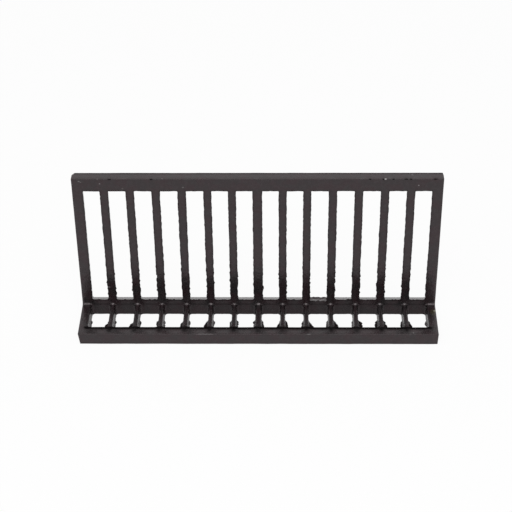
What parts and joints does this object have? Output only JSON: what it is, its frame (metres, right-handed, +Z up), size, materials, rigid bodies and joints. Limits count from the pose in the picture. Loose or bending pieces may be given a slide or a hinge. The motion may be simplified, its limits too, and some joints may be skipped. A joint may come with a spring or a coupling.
{
  "type": "drain grate",
  "caption": "Cast ductile iron angle grate: an upright screen of tall slots on a slotted foot, painted black.",
  "frame": {"origin": "under the middle of the foot: the centre of the bounding box at the height of the foot's underside", "axes": "+X along the grate, +Y from the foot's front rail to the back of the screen, +Z up the screen"},
  "size_m": [0.3048, 0.0508, 0.1397],
  "materials": {
    "black_iron": "sand-cast ductile iron under thin black paint, semi-gloss, with small chips and specks"
  },
  "bodies": {
    "root": {"grate": "black_iron"}
  },
  "joints": []
}
